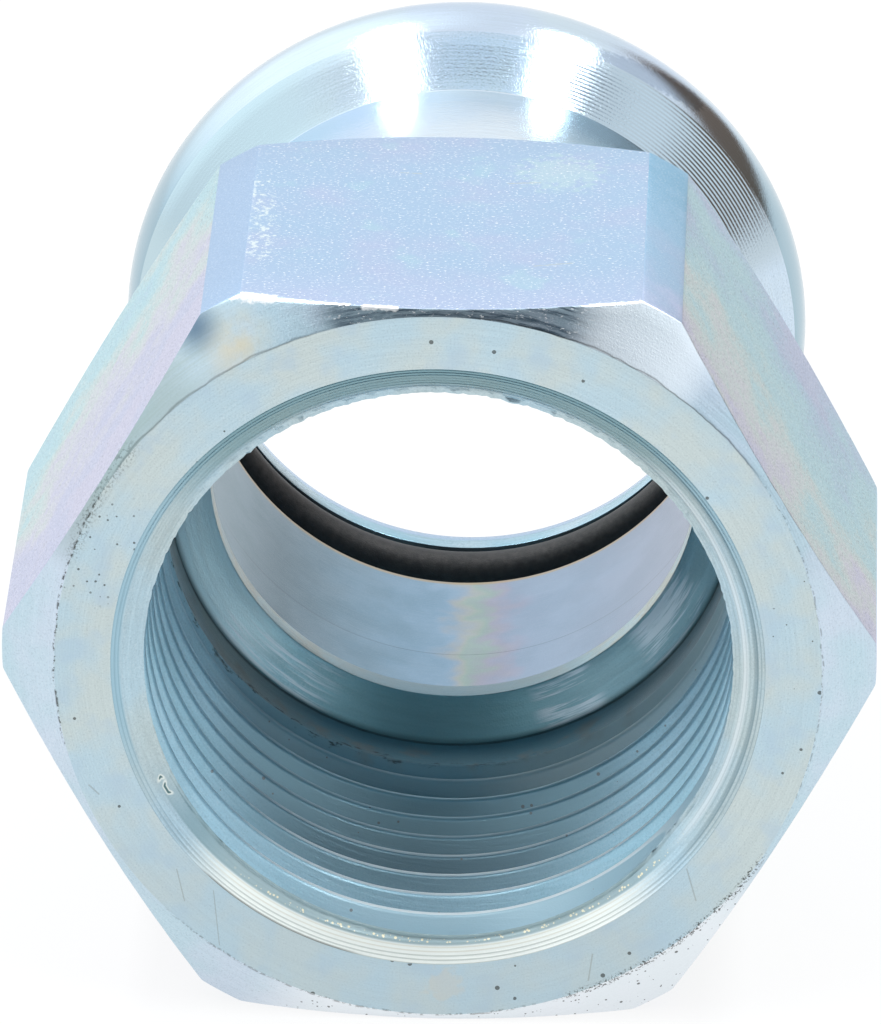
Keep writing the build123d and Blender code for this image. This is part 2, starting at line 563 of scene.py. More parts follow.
class Nodes:
    """Short calls for the nodes of one tree."""

    def __init__(self, tree):
        self.tree = tree

    def node(self, kind, inputs=(), **settings):
        """Adds a node. Inputs are pairs of a socket's name or number and a value or a socket."""
        node = self.tree.nodes.new(kind)
        for key, value in settings.items():
            setattr(node, key, value)
        for key, value in inputs:
            self.feed(node.inputs[key], value)
        return node

    def feed(self, socket, value):
        """Links a socket to another, or sets its value."""
        if isinstance(value, bpy.types.NodeSocket):
            self.tree.links.new(value, socket)
        elif socket.type == "RGBA" and len(value) == 3:
            socket.default_value = (*value, 1.0)
        else:
            socket.default_value = value

    def math(self, operation, first, second=0.0):
        """Result of one sum on two numbers."""
        return self.node("ShaderNodeMath", [(0, first), (1, second)], operation=operation).outputs[0]

    def chain(self, operation, shares):
        """Result of one sum on the first share and the second, then on that and the third, and so on."""
        result = shares[0]
        for share in shares[1:]:
            result = self.math(operation, result, share)
        return result

    def product(self, *shares):
        """Product of any number of shares."""
        return self.chain("MULTIPLY", shares)

    def any_of(self, *shares):
        """Greatest of any number of shares."""
        return self.chain("MAXIMUM", shares)

    def vector_math(self, operation, first, second):
        """Result of one sum on two vectors, a vector or a number as the operation has it."""
        node = self.node("ShaderNodeVectorMath", [(0, first), (1, second)], operation=operation)
        return node.outputs["Value" if operation in ("DISTANCE", "DOT_PRODUCT") else "Vector"]

    def between(self, value, low, high, start=0.0, end=1.0):
        """Smooth step from the start, where the value is low, to the end, where it is high."""
        inputs = [("Value", value), ("From Min", low), ("From Max", high)]
        inputs += [("To Min", start), ("To Max", end)]
        return self.node("ShaderNodeMapRange", inputs, interpolation_type="SMOOTHSTEP").outputs["Result"]

    def within(self, cosine, inner, outer):
        """1 where an angle, given by its cosine, is under an inner one, 0 over an outer one, in degrees."""
        return self.between(cosine, math.cos(math.radians(outer)), math.cos(math.radians(inner)))

    def mix(self, share, first, second, blend="MIX"):
        """First colour, with a share of the second laid over it."""
        inputs = [(0, share), (6, first), (7, second)]
        return self.node("ShaderNodeMix", inputs, data_type="RGBA", blend_type=blend).outputs[2]


class Recipe(Nodes):
    """Node tree of one finish, with places on the part in millimetres and a base that shades lie over.

    point is across, along from the threaded face, and up from the axis; out is the distance from the
    axis; side and height are the shares of it to the right and upwards.
    """

    def __init__(self, name):
        self.material = bpy.data.materials.new(name)
        self.material.use_nodes = True
        super().__init__(self.material.node_tree)
        self.shader = self.tree.nodes["Principled BSDF"]
        self.base = WHITE
        middle = (BODY_HIGH.z + BODY_LOW.z) / 2
        source = self.node("ShaderNodeTexCoord").outputs["Object"]
        inputs = [("Vector", source), ("Scale", (1000.0, 1000.0, 1000.0))]
        inputs.append(("Location", (0.0, -BODY_LOW.y * 1000.0, -middle * 1000.0)))
        self.point = self.node("ShaderNodeMapping", inputs).outputs[0]
        self.across, self.along, self.up = self.node("ShaderNodeSeparateXYZ", [(0, self.point)]).outputs
        square = self.math("ADD", self.math("POWER", self.across, 2.0), self.math("POWER", self.up, 2.0))
        self.out = self.math("SQRT", square)
        self.side = self.math("DIVIDE", self.across, self.out)
        self.height = self.math("DIVIDE", self.up, self.out)

    def over(self, shade, *shares):
        """Lays a shade over the base by the product of its shares."""
        self.base = self.mix(self.product(*shares), self.base, shade)

    def band(self, value, low, high, soft):
        """1 where a value lies between two others, with soft ends."""
        rise = self.between(value, low - soft, low + soft)
        return self.product(rise, self.between(value, high + soft, high - soft))

    def sector(self, middle, inner, outer):
        """1 within an angle of a direction round the axis, 0 beyond a greater one, in degrees."""
        turn = math.radians(middle)
        sideways = self.product(self.side, math.cos(turn))
        towards = self.math("ADD", sideways, self.product(self.height, math.sin(turn)))
        return self.within(towards, inner, outer)

    def spot(self, place, radius, ragged=0.0, core=0.5):
        """1 within a core's share of a radius from a place, 0 beyond the radius, ragged by noise."""
        away = self.vector_math("DISTANCE", self.point, place)
        if ragged:
            away = self.math("ADD", away, self.patches(1.6, 0.2, 0.8, -ragged, ragged, detail=3.0))
        return self.between(away, radius, radius * core)

    def stroke(self, first, second, width, ragged=0.0):
        """1 along a straight line from one place to another, 0 beyond half a width from it."""
        first, second = np.array(first), np.array(second)
        way = second - first
        start = self.vector_math("SUBTRACT", self.point, tuple(first))
        share = self.vector_math("DOT_PRODUCT", start, tuple(way / (way @ way)))
        share = self.node("ShaderNodeClamp", [(0, share)]).outputs[0]
        foot = self.vector_math("MULTIPLY", self.vector(share, share, share), tuple(way))
        away = self.vector_math("DISTANCE", start, foot)
        if ragged:
            away = self.math("ADD", away, self.patches(4.0, 0.2, 0.8, -ragged, ragged, detail=3.0))
        return self.between(away, width / 2, width / 4)

    def strokes(self, places, width, ragged=0.0):
        """Line of strokes through several places."""
        return self.any_of(*(self.stroke(a, b, width, ragged) for a, b in zip(places, places[1:])))

    def on_top(self, places, width, ragged=0.0):
        """Line of strokes on the top flat, whose places are across and along."""
        return self.strokes([(x, y, TOP) for x, y in places], width, ragged)

    def on_face(self, places, width):
        """Line of strokes on the threaded face, whose places are across and up."""
        return self.strokes([(x, 0.0, z) for x, z in places], width)

    def lines(self, close, long):
        """Vector whose noise runs in lines round the axis: close across them and long along them."""
        across = self.product(self.math("ADD", self.out, self.along), close)
        return self.vector(across, self.product(self.side, long), self.product(self.height, long))

    def stretched(self, x, y, z):
        """Place with each direction scaled, so that noise on it comes out long one way."""
        return self.vector_math("MULTIPLY", self.point, (x, y, z))

    def noise(self, vector, scale, detail=2.0, roughness=0.5):
        """Cloudy noise about 0.5."""
        inputs = [("Vector", vector), ("Scale", scale), ("Detail", detail), ("Roughness", roughness)]
        return self.node("ShaderNodeTexNoise", inputs).outputs[0]

    def patches(self, scale, low, high, start=0.0, end=1.0, detail=2.0, roughness=0.5):
        """Cloudy noise over the part, as a smooth step between two of its values."""
        return self.between(self.noise(self.point, scale, detail, roughness), low, high, start, end)

    def pits(self, scale, share, radius):
        """Round pits, one at most in each cell of a size: the share of cells that have one is given."""
        cells = self.node("ShaderNodeTexVoronoi", [("Vector", self.point), ("Scale", scale)])
        chosen = self.node("ShaderNodeSeparateXYZ", [(0, cells.outputs["Color"])]).outputs
        inside = self.math("LESS_THAN", cells.outputs["Distance"], self.product(chosen[1], radius))
        return self.product(inside, self.math("LESS_THAN", chosen[0], share))

    def grooves(self, value, spacing):
        """Sine wave of a spacing, for the even grooves of a turning tool."""
        return self.math("SINE", self.product(value, 2 * math.pi / spacing))

    def ramp(self, value, stops):
        """Colour that runs through the stops, each a place and a colour."""
        node = self.node("ShaderNodeValToRGB", [(0, value)])
        node.color_ramp.interpolation = "B_SPLINE"
        elements = node.color_ramp.elements
        while len(elements) < len(stops):
            elements.new(0.5)
        for element, (place, shade) in zip(elements, stops):
            element.position = place
            element.color = (*shade, 1.0)
        return node.outputs[0]

    def vector(self, x, y, z):
        """Vector from three numbers."""
        return self.node("ShaderNodeCombineXYZ", [(0, x), (1, y), (2, z)]).outputs[0]

    def bump(self, height, distance, strength=1.0, normal=None):
        """Normal bent by a height, in millimetres of relief."""
        inputs = [("Height", height), ("Distance", distance * MM), ("Strength", strength)]
        if normal is not None:
            inputs.append(("Normal", normal))
        return self.node("ShaderNodeBump", inputs).outputs[0]

    def crystals(self, size, light, dark):
        """Lays lighter and darker flecks of fine crystals over the base, and returns their grain."""
        grain = self.noise(self.point, 1.0 / size, roughness=0.6)
        self.over(WHITE, self.between(grain, 0.54, 0.68, 0.0, light))
        self.over((0.10, 0.13, 0.16), self.between(grain, 0.46, 0.32, 0.0, dark))
        return grain

    def finish(self, **sockets):
        """Sets the base and the shader's other sockets by name, and returns the material."""
        self.feed(self.shader.inputs["Base Color"], self.base)
        for name, value in sockets.items():
            self.feed(self.shader.inputs[name], value)
        return self.material


class Turned(Recipe):
    """Plating on a turned surface: clouds of two tints, streaks round the axis and a fine grain."""

    def __init__(self, name, tints, roughness=0.3, lines=14.0, relief=0.012, streaks=0.15, light=0.12,
                 dark=0.15, anisotropic=0.3, clouds=0.15, metal=1.0):
        super().__init__(name + "_plating")
        cloud = self.patches(clouds, 0.38, 0.62, detail=3.0, roughness=0.55)
        streak = self.noise(self.lines(lines, 4.0), 1.0, detail=3.0, roughness=0.6)
        shade = self.between(streak, 0.35, 0.65, 1.0 - streaks, 1.0)
        self.base = self.mix(cloud, *tints)
        self.base = self.mix(1.0, self.base, self.vector(shade, shade, shade), blend="MULTIPLY")
        grain = self.crystals(0.10, light, dark)
        self.normal = self.bump(grain, 0.02, 0.4, normal=self.bump(streak, relief))
        self.rest = {"Roughness": roughness, "Anisotropic": anisotropic, "Metallic": metal}

    def done(self):
        """Sets the shader and returns the material."""
        around_axis = self.node("ShaderNodeTangent", direction_type="RADIAL", axis="Y").outputs[0]
        return self.finish(Normal=self.normal, Tangent=around_axis, **self.rest)


class Smooth(Turned):
    """Plating on a turned surface that is nearly polished."""

    def __init__(self, name, tints):
        super().__init__(
            name, tints, roughness=0.12, streaks=0.05, relief=0.002, anisotropic=0.0, light=0.04, dark=0.04
        )


def edge_dirt(recipe):
    """Dark dirt along the edge between the end face and the crown: crumbly below, a thin line above."""
    near = recipe.math("SUBTRACT", recipe.out, FACE_EDGE)
    near = recipe.math("ADD", near, recipe.patches(0.7, 0.25, 0.75, -0.06, 0.06))
    broken = recipe.patches(3.2, 0.47, 0.58, detail=3.0, roughness=0.7)
    crumbs = recipe.patches(7.0, 0.52, 0.58, detail=3.0, roughness=0.7)
    lines = []
    for reach, soft, sector, shares in (
        (0.05, 0.05, (171.0, 20.0, 25.0), (broken,)),
        (0.35, 0.20, (152.0, 7.0, 13.0), (crumbs, 0.5)),
        (0.20, 0.10, (309.0, 16.0, 22.0), (crumbs,)),
        (0.03, 0.04, (60.0, 22.0, 28.0), (0.7,)),
        (0.04, 0.05, (128.0, 16.0, 22.0), (0.5,)),
        (0.06, 0.05, (256.0, 22.0, 34.0), (broken, 0.6)),
        (0.03, 0.04, (6.0, 22.0, 34.0), (broken, 0.6)),
    ):
        line = recipe.band(near, -reach, reach, soft)
        lines.append(recipe.product(line, recipe.sector(*sector), *shares))
    return recipe.any_of(*lines)


def rolled_edge_highlight(recipe):
    """Where the front edge of the top flat was rolled over and knocked: the mask of a painted highlight
    along it.
    """
    return recipe.any_of(
        recipe.on_top([(-10.6, 1.7), (-8.6, 1.3)], 0.9, 0.12),
        recipe.on_top([(-9.0, 1.35), (-6.6, 0.9), (-4.6, 0.6)], 0.26, 0.06),
        recipe.on_top([(-3.8, 0.45), (-2.3, 0.32)], 0.5, 0.08),
        recipe.on_top([(7.6, 1.15), (9.4, 1.5), (10.6, 1.85)], 0.26, 0.06),
    )


def curled_chip(recipe):
    """Small chip curled like an S on the mouth's edge: a painted highlight on its rim round painted shade
    in its teal hollow.
    """
    corners = [(-14.45, -6.95), (-14.25, -6.62), (-13.92, -6.75)]
    corners += [(-14.05, -7.15), (-13.85, -7.5), (-13.55, -7.55)]
    places = [(x, 0.6, z) for x, z in corners]
    recipe.over(linear(222, 230, 226), recipe.strokes(places, 0.34))
    recipe.over(linear(96, 124, 126), recipe.strokes(places, 0.16))


def thread_end(recipe):
    """Ragged dark and rusty line where the thread dies away."""
    wander = recipe.patches(1.2, 0.25, 0.75, -0.3, 0.3, detail=3.0)
    near = recipe.math("ADD", recipe.along, wander)
    broken = recipe.noise(recipe.stretched(1.2, 4.0, 1.2), 1.0, 3.0, 0.7)
    line = recipe.product(recipe.band(near, 20.6, 20.9, 0.10), recipe.between(broken, 0.48, 0.62))
    recipe.over(linear(66, 66, 58), line, recipe.sector(220.0, 30.0, 80.0), 0.8)
    stain = recipe.patches(0.5, 0.52, 0.70, detail=3.0)
    recipe.over(linear(168, 150, 132), recipe.band(near, 20.4, 22.4, 0.8), stain, 0.45)


def top_flat_finish(colours):
    """Blue-lilac plating with bright crystals, worn pale near its left edge."""
    recipe = Recipe("top_flat_plating")
    cloud = recipe.patches(0.2, 0.40, 0.75, 0.0, 0.6, detail=3.0, roughness=0.6)
    recipe.base = recipe.mix(cloud, colours.sky, colours.lilac)
    recipe.over(colours.lilac, recipe.between(recipe.along, 7.0, 0.5, 0.0, 0.5))
    recipe.over(colours.aqua, recipe.patches(0.35, 0.58, 0.72, 0.0, 0.4))
    recipe.over(linear(200, 224, 222), recipe.spot((5.6, 18.4, TOP), 2.6, 1.2), 0.45)
    grain = recipe.noise(recipe.stretched(5.4, 8.0, 8.0), 1.0, roughness=0.6)
    recipe.over(linear(150, 172, 212), recipe.between(grain, 0.44, 0.28, 0.0, 0.30))
    recipe.over(WHITE, recipe.between(grain, 0.59, 0.67, 0.0, 0.75))
    worn = recipe.on_top([(-10.3, 16.2), (-9.6, 13.0), (-9.5, 7.0)], 1.6, 0.7)
    rubbed = recipe.noise(recipe.stretched(2.6, 2.2, 2.0), 1.0, 4.0, 0.6)
    recipe.over(linear(236, 244, 240), worn, recipe.between(rubbed, 0.48, 0.62), 0.75)
    scratches = recipe.any_of(
        recipe.on_top([(3.0, 16.9), (4.6, 17.1)], 0.16, 0.05),
        recipe.on_top([(4.6, 6.0), (6.6, 6.5)], 0.14, 0.05),
        recipe.on_top([(-2.6, 18.1), (-1.6, 18.0)], 0.14, 0.05),
    )
    recipe.over(linear(196, 204, 206), scratches, 0.8)
    # Painted highlight along the rolled front edge of the top flat.
    recipe.over(WHITE, rolled_edge_highlight(recipe))
    return recipe.finish(Metallic=1.0, Roughness=0.42, Normal=recipe.bump(grain, 0.04, 0.6))


def side_flat_finish(colours):
    """Plating whose film changes colour in wandering bands, from front to back and from side to side."""
    recipe = Recipe("side_flat_plating")
    value = recipe.product(recipe.along, 0.027)
    value = recipe.math("ADD", value, recipe.noise(recipe.point, 0.18, detail=3.0))
    fleck = recipe.noise(recipe.point, 4.5, detail=3.0, roughness=0.7)
    value = recipe.math("ADD", value, recipe.product(fleck, 0.36))
    value = recipe.math("ADD", value, recipe.between(recipe.across, -4.0, 4.0, -0.68, -0.40))
    order = ("rose", "lilac", "rose", "straw", "aqua", "aqua", "sky", "lilac")
    stops = [(place / 7.0, getattr(colours, name)) for place, name in enumerate(order)]
    recipe.base = recipe.ramp(value, stops)
    recipe.over(linear(168, 200, 214), 0.06)
    grain = recipe.crystals(0.11, 0.36, 0.40)
    recipe.over(linear(120, 128, 136), recipe.pits(3.0, 0.35, 0.22), 0.5)
    return recipe.finish(Metallic=1.0, Roughness=0.42, Normal=recipe.bump(grain, 0.05, 0.5))


def corner_finish(colours):
    """Smooth plating on the turned corners, deep blue at the back and lilac at the front."""
    recipe = Recipe("corner_plating")
    depth = recipe.math("DIVIDE", recipe.along, HEXAGON_LENGTH)
    depth = recipe.math("ADD", depth, recipe.patches(0.4, 0.3, 0.7, -0.12, 0.12))
    stops = [(0.05, linear(206, 214, 242)), (0.3, linear(170, 200, 226))]
    stops += [(0.6, linear(166, 206, 232)), (0.95, linear(138, 190, 218))]
    recipe.base = recipe.ramp(depth, stops)
    recipe.over(linear(168, 192, 219), recipe.between(recipe.across, 2.0, -2.0))
    grain = recipe.crystals(0.10, 0.24, 0.12)
    recipe.over(colours.soil, recipe.stroke((11.0, 18.9, 19.2), (11.2, 18.5, 19.1), 0.12))
    return recipe.finish(Metallic=1.0, Roughness=0.38, Normal=recipe.bump(grain, 0.03, 0.4))


def face_finish(colours):
    """Faced plating, pale blue-grey with cream clouds, pinholes, knocks and dirt along its outer edge."""
    tints = (colours.pale, colours.cream)
    recipe = Turned("face", tints, roughness=0.4, clouds=0.22, streaks=0.06)
    recipe.over(linear(182, 205, 222), recipe.patches(0.5, 0.50, 0.72, 0.0, 0.5, detail=3.0))
    recipe.over(linear(170, 192, 204), recipe.sector(265.0, 30.0, 70.0), 0.4)
    recipe.over(linear(206, 202, 190), recipe.spot((0.5, 0.0, -17.9), 1.2, 0.5), 0.4)
    left = recipe.product(recipe.spot((-17.2, 0.0, 6.4), 3.8), recipe.pits(4.5, 0.35, 0.30))
    right = recipe.product(recipe.spot((17.6, 0.0, 0.5), 5.0), recipe.pits(4.5, 0.14, 0.20))
    recipe.over(colours.soil, recipe.any_of(left, right, recipe.pits(2.2, 0.06, 0.28)), 0.75)
    knocks = recipe.any_of(
        recipe.on_face([(-17.9, -6.9), (-17.4, -7.4)], 0.12),
        recipe.on_face([(-13.4, -11.6), (-13.0, -13.4)], 0.08),
        recipe.on_face([(-11.5, -12.8), (-11.2, -15.9)], 0.07),
        recipe.on_face([(8.1, -16.0), (7.9, -17.5)], 0.10),
        recipe.on_face([(12.9, -11.0), (13.4, -12.8)], 0.10),
    )
    recipe.over(linear(128, 128, 118), knocks, 0.35)
    recipe.over(colours.soil, edge_dirt(recipe), 0.9)
    return recipe.done()


def crown_finish(colours):
    """Chamfered crown: sparkling under a painted dark reflection on top, dull green-grey with soft spots
    beside, gritty under a painted pale reflection below.
    """
    tints = (colours.pale, linear(206, 220, 234))
    recipe = Turned("crown", tints, roughness=0.36, streaks=0.05, lines=9.0, relief=0.004)
    front = recipe.between(recipe.along, 8.0, 6.0)
    top = recipe.product(recipe.sector(87.0, 15.0, 23.0), front)
    coarse = recipe.noise(recipe.lines(4.0, 9.0), 1.0, 4.0, 0.75)
    # Painted dark reflection on the top of the crown, by its front.
    recipe.over(linear(80, 98, 112), top, recipe.between(coarse, 0.36, 0.60, 1.0, 0.45))
    streaks = recipe.between(recipe.noise(recipe.lines(7.0, 3.0), 1.0, 4.0, 0.7), 0.30, 0.72)
    recipe.over(linear(132, 150, 162), recipe.sector(34.0, 12.0, 20.0), front, streaks, 0.35)
    left = recipe.product(recipe.sector(138.0, 12.0, 22.0), front)
    recipe.over(linear(176, 192, 190), left, recipe.between(streaks, 0.0, 1.0, 0.5, 1.0), 0.7)
    recipe.over(linear(150, 168, 164), recipe.sector(146.0, 12.0, 20.0), front, 0.5)
    blotchy = recipe.patches(1.0, 0.20, 0.70, 0.2, 1.0, detail=3.0)
    recipe.over(linear(216, 206, 178), recipe.spot((-10.2, 0.7, 17.7), 2.6, core=0.0), blotchy, 0.8)
    recipe.over(linear(84, 112, 138), recipe.spot((-12.5, 1.5, 18.2), 1.9, core=0.0), 0.8)
    recipe.over(linear(244, 250, 255), recipe.sector(60.0, 5.0, 12.0), front, 0.8)
    sparkle = recipe.noise(recipe.stretched(3.5, 9.0, 9.0), 1.0, 3.0, 0.7)
    recipe.over(WHITE, top, recipe.between(sparkle, 0.60, 0.68), 0.9)
    grit = recipe.any_of(recipe.pits(5.0, 0.30, 0.30), recipe.pits(2.5, 0.25, 0.25))
    low = recipe.product(recipe.sector(285.0, 30.0, 45.0), front)
    # Painted pale reflection on the lower part of the crown.
    recipe.over(linear(244, 247, 250), low, 0.75)
    recipe.over(colours.soil, low, grit, 0.8)
    recipe.over(colours.soil, edge_dirt(recipe), front, 0.9)
    # Painted highlight along the rolled front edge.
    recipe.over(WHITE, rolled_edge_highlight(recipe))
    return recipe.done()


def countersink_finish(colours):
    """Turned countersink: blue-teal and dull above with painted shade, painted bright below where it is
    lined and golden-dotted, and a painted highlight on its right.
    """
    tints = (linear(188, 205, 208), linear(182, 208, 220))
    recipe = Turned("countersink", tints, streaks=0.1)
    # Painted shade on the upper part: darker teal on its outer and inner rings.
    outer = recipe.between(recipe.out, 16.25, 16.40)
    recipe.over(linear(156, 192, 208), outer, recipe.sector(110.0, 78.0, 100.0), 0.8)
    inner = recipe.between(recipe.out, 15.5, 15.8)
    recipe.over(linear(122, 154, 158), recipe.sector(92.0, 36.0, 60.0), inner, 0.7)
    # Painted bright reflection: the lower part is painted near white, with less metal.
    low = recipe.sector(267.0, 34.0, 52.0)
    recipe.over(linear(244, 248, 242), low)
    recipe.rest["Metallic"] = recipe.between(low, 0.0, 1.0, 1.0, 0.2)
    wave = recipe.grooves(recipe.out, COUNTERSINK_GROOVES)
    lined = recipe.between(wave, 0.2, 0.8)
    recipe.over(linear(208, 204, 186), lined, low, 0.5)
    recipe.over(linear(112, 142, 156), lined, outer, 0.30)
    right = recipe.sector(4.0, 30.0, 50.0)
    # Painted highlight: a bright band round the right.
    recipe.over(linear(236, 244, 248), right, recipe.band(recipe.out, 15.6, 15.9, 0.1), 0.5)
    recipe.over(linear(136, 156, 160), right, lined, 0.25)
    recipe.over(linear(104, 130, 140), right, recipe.band(recipe.out, 16.22, 16.42, 0.05), 0.5)
    hollow = recipe.product(recipe.between(recipe.out, 16.00, 15.86), recipe.sector(264.0, 44.0, 64.0))
    recipe.over(linear(136, 164, 172), hollow, 0.85)
    dots = recipe.product(recipe.band(recipe.out, 15.66, 15.82, 0.03), recipe.pits(6.0, 0.95, 0.50))
    recipe.over(linear(238, 228, 196), dots, recipe.sector(276.0, 36.0, 52.0))
    edge = recipe.between(recipe.out, 16.66, 16.72)
    recipe.over(colours.soil, edge, recipe.sector(240.0, 12.0, 18.0), 0.6)
    height = recipe.product(wave, recipe.between(outer, 0.0, 1.0, 0.3, 1.0))
    recipe.normal = recipe.bump(height, 0.006, normal=recipe.normal)
    curled_chip(recipe)
    return recipe.done()


def cone_finish():
    """Plating on the bead's cone, scuffed, with the even grooves of a turning tool on its right."""
    tints = (linear(208, 224, 232), linear(204, 222, 238))
    recipe = Turned("cone", tints, roughness=0.12, streaks=0.08, relief=0.0012, anisotropic=0.0)
    recipe.over(linear(190, 212, 220), recipe.between(recipe.side, -0.30, -0.65))
    ending = recipe.between(recipe.height, 0.24, 0.34)
    right = recipe.between(recipe.side, 0.20, 0.50, 0.06, 1.0)
    groove = recipe.product(recipe.grooves(recipe.along, CONE_GROOVES), right, ending)
    recipe.over(linear(188, 204, 214), recipe.between(recipe.side, 0.25, 0.50), ending)
    recipe.normal = recipe.bump(groove, 0.010, normal=recipe.normal)
    scuff = recipe.stroke((10.6, 40.0, 11.4), (12.0, 41.8, 12.6), 0.2, 0.12)
    recipe.over(linear(120, 122, 118), scuff, 0.5)
    return recipe.done()


def bead_finish():
    """Smooth plating on the bead, with painted shade down its sides and a painted dark reflection on its
    right.
    """
    recipe = Smooth("bead", (linear(214, 229, 237), linear(211, 225, 240)))
    # Painted shade, deeper in tone down the sides.
    recipe.over(linear(166, 190, 202), recipe.between(recipe.height, 0.85, 0.35))
    # Painted dark reflection along the right of the bead.
    dark_reflection = recipe.stroke((7.6, 43.2, 16.4), (12.2, 44.3, 13.8), 1.9, 0.2)
    recipe.over(linear(96, 120, 150), dark_reflection, 0.4)
    return recipe.done()


def neck_finish():
    """Smooth plating on the neck, with painted shade to its sides so that it is brightest on top, and
    duller to its right.
    """
    recipe = Smooth("neck", (linear(232, 244, 252), linear(238, 246, 250)))
    # Painted shade to the left, and deeper painted shade to the right.
    recipe.over(linear(212, 224, 241), recipe.between(recipe.side, -0.10, -0.40))
    recipe.over(linear(172, 196, 209), recipe.between(recipe.side, 0.15, 0.45))
    return recipe.done()


def thread_finish(colours):
    """Plating in the thread, with painted shade along its lower side, painted light by the mouth, a painted
    highlight on the crests, a dirty blotch, rust and a dirty end.
    """
    tints = (colours.teal, linear(174, 212, 228))
    recipe = Turned("thread", tints, roughness=0.36, streaks=0.08, metal=0.5)
    # Painted shade on the lower side: dark teal from a few millimetres in, paler teal deeper in.
    low = recipe.sector(264.0, 14.0, 52.0)
    recipe.over(linear(96, 124, 136), low, recipe.between(recipe.along, 3.4, 9.0, 0.1, 0.9))
    recipe.over(linear(150, 186, 198), low, recipe.between(recipe.along, 8.0, 16.0), 0.9)
    # Painted light by the mouth on the lower right, with less metal there.
    mouth = recipe.product(recipe.between(recipe.along, 3.6, 2.4), recipe.sector(300.0, 40.0, 62.0))
    recipe.over(linear(172, 202, 214), mouth, 0.9)
    inside = recipe.between(recipe.along, 16.5, 19.0)
    recipe.over(linear(184, 202, 204), inside, recipe.sector(315.0, 25.0, 45.0), 0.8)
    recipe.rest["Metallic"] = recipe.between(recipe.any_of(mouth, inside), 0.0, 1.0, 0.5, 0.1)
    # Painted highlight along the crests near the mouth, fading deeper in.
    fading = recipe.between(recipe.along, 14.0, 5.0, 0.1)
    crest_highlight = recipe.product(recipe.between(recipe.out, 15.20, 15.17), fading)
    recipe.over(linear(240, 248, 250), crest_highlight, recipe.sector(275.0, 26.0, 56.0))
    recipe.over(colours.rust, recipe.pits(2.0, 0.10, 0.20), 0.6)
    blotch = recipe.spot((-1.2, 0.9, -15.7), 1.4, 0.5)
    recipe.over(colours.soil, blotch, recipe.pits(4.5, 0.7, 0.4), 0.7)
    thread_end(recipe)
    curled_chip(recipe)
    return recipe.done()


def plain_bore_finish():
    """Bore between the thread and the shoulder, grey with rust tints, painted shade along its bottom and a
    painted dark line of shade in its corner.
    """
    tints = (linear(176, 194, 200), linear(188, 194, 190))
    recipe = Turned("plain_bore", tints, roughness=0.45, metal=0.5)
    # Painted shade along the bottom of the bore.
    recipe.over(linear(98, 152, 168), recipe.sector(270.0, 18.0, 50.0), 0.8)
    thread_end(recipe)
    # Painted shade: a dark line in the corner by the shoulder.
    recipe.over(linear(58, 78, 74), recipe.between(recipe.along, 23.05, 23.25), 0.7)
    return recipe.done()


def shoulder_finish(colours):
    """Drilled shoulder with groups of brushed streaks, painted shade at its bottom and lower right, painted
    light at its left and a painted dark line of shade in its corner.
    """
    tints = (colours.deep, linear(168, 212, 224))
    recipe = Turned("shoulder", tints, roughness=0.32, streaks=0.2, lines=8.0, metal=0.55)
    # Painted shade at the bottom.
    recipe.over(linear(137, 190, 199), recipe.sector(270.0, 10.0, 38.0), 0.75)
    groups = ((228.0, 8.0, 18.0), (296.0, 4.0, 9.0), (326.0, 6.0, 12.0))
    group = recipe.any_of(*(recipe.sector(*places) for places in groups))
    brushed = recipe.between(recipe.noise(recipe.lines(9.0, 2.0), 1.0, 4.0, 0.7), 0.46, 0.60)
    # Painted shade to the lower right and painted light to the left.
    recipe.over(linear(124, 156, 168), recipe.sector(320.0, 14.0, 38.0), 0.6)
    recipe.over(linear(226, 246, 250), recipe.sector(200.0, 16.0, 32.0), 0.6)
    recipe.over(linear(226, 238, 246), group, brushed, 0.8)
    # Painted shade: a dark line in the corner by the bore.
    recipe.over(linear(58, 78, 74), recipe.between(recipe.along, 23.60, 23.42), 0.6)
    return recipe.done()


def stop_land_finish():
    """Narrow bore of the pipe stop, cream in places, with painted shade at the bottom."""
    tints = (linear(200, 230, 236), linear(212, 220, 210))
    recipe = Turned("stop_land", tints, clouds=0.5)
    # Painted shade at the bottom.
    recipe.over(linear(118, 152, 166), recipe.sector(270.0, 10.0, 45.0), 0.8)
    recipe.rest["Metallic"] = recipe.between(recipe.side, -0.9, -0.4, 0.25, 0.6)
    return recipe.done()


def socket_finish(colours):
    """Bored socket whose film runs through pale tints round the bottom, with a gold line at the seal."""
    tints = (colours.steel, linear(164, 180, 194))
    recipe = Turned("socket", tints, streaks=0.12, clouds=0.3)
    place = recipe.math("ADD", recipe.side, recipe.patches(0.5, 0.3, 0.7, -0.05, 0.05))
    stops = [
        (0.0, linear(108, 138, 152)),
        (0.18, linear(108, 144, 162)),
        (0.42, linear(136, 176, 204)),
        (0.47, linear(148, 178, 202)),
        (0.52, linear(192, 186, 174)),
        (0.56, linear(148, 188, 170)),
        (0.62, linear(180, 160, 182)),
        (0.70, linear(136, 170, 196)),
        (1.0, linear(158, 166, 188)),
    ]
    recipe.over(recipe.ramp(recipe.between(place, -0.9, 0.9), stops), 0.7)
    recipe.over(linear(70, 78, 84), recipe.band(recipe.along, 32.55, 32.62, 0.03), 0.4)
    recipe.over(linear(190, 164, 120), recipe.between(recipe.along, 41.65, 41.85), 0.7)
    return recipe.done()


def lip_finish(colours):
    """Rim behind the seal, blue on its chamfer and teal before it."""
    recipe = Turned("lip", (colours.teal, colours.pale), roughness=0.25)
    recipe.over(linear(168, 196, 222), recipe.between(recipe.along, 47.6, 47.8))
    return recipe.done()


